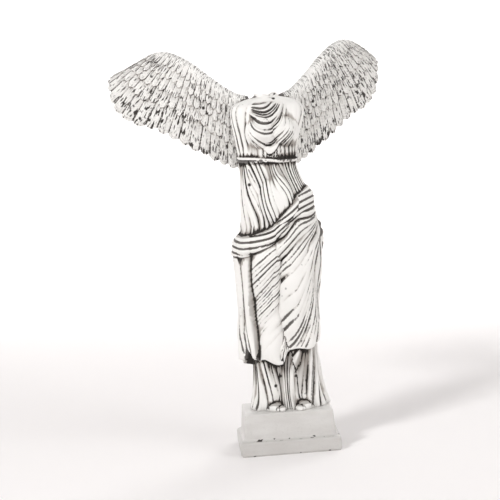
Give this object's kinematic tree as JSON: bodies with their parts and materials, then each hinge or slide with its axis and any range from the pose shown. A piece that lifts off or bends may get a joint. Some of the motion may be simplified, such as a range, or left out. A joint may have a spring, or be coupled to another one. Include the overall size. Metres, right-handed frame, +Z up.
{
  "type": "winged goddess statuette",
  "caption": "Tabletop statuette of a headless winged goddess in a belted dress and wrapped mantle, on a two-step plinth.",
  "frame": {"origin": "centre of the plinth's underside", "axes": "+Z up, the plinth's front faces -Y and its long side runs along X"},
  "size_m": [0.2145, 0.1119, 0.3045],
  "materials": {
    "figure_resin": "matt white cast resin, dark wash in the grooves",
    "plinth_resin": "satin pale grey cast resin, a few dark chips along the edges"
  },
  "bodies": {
    "root": {"winged_figure": "figure_resin", "stepped_plinth": "plinth_resin"}
  },
  "joints": []
}
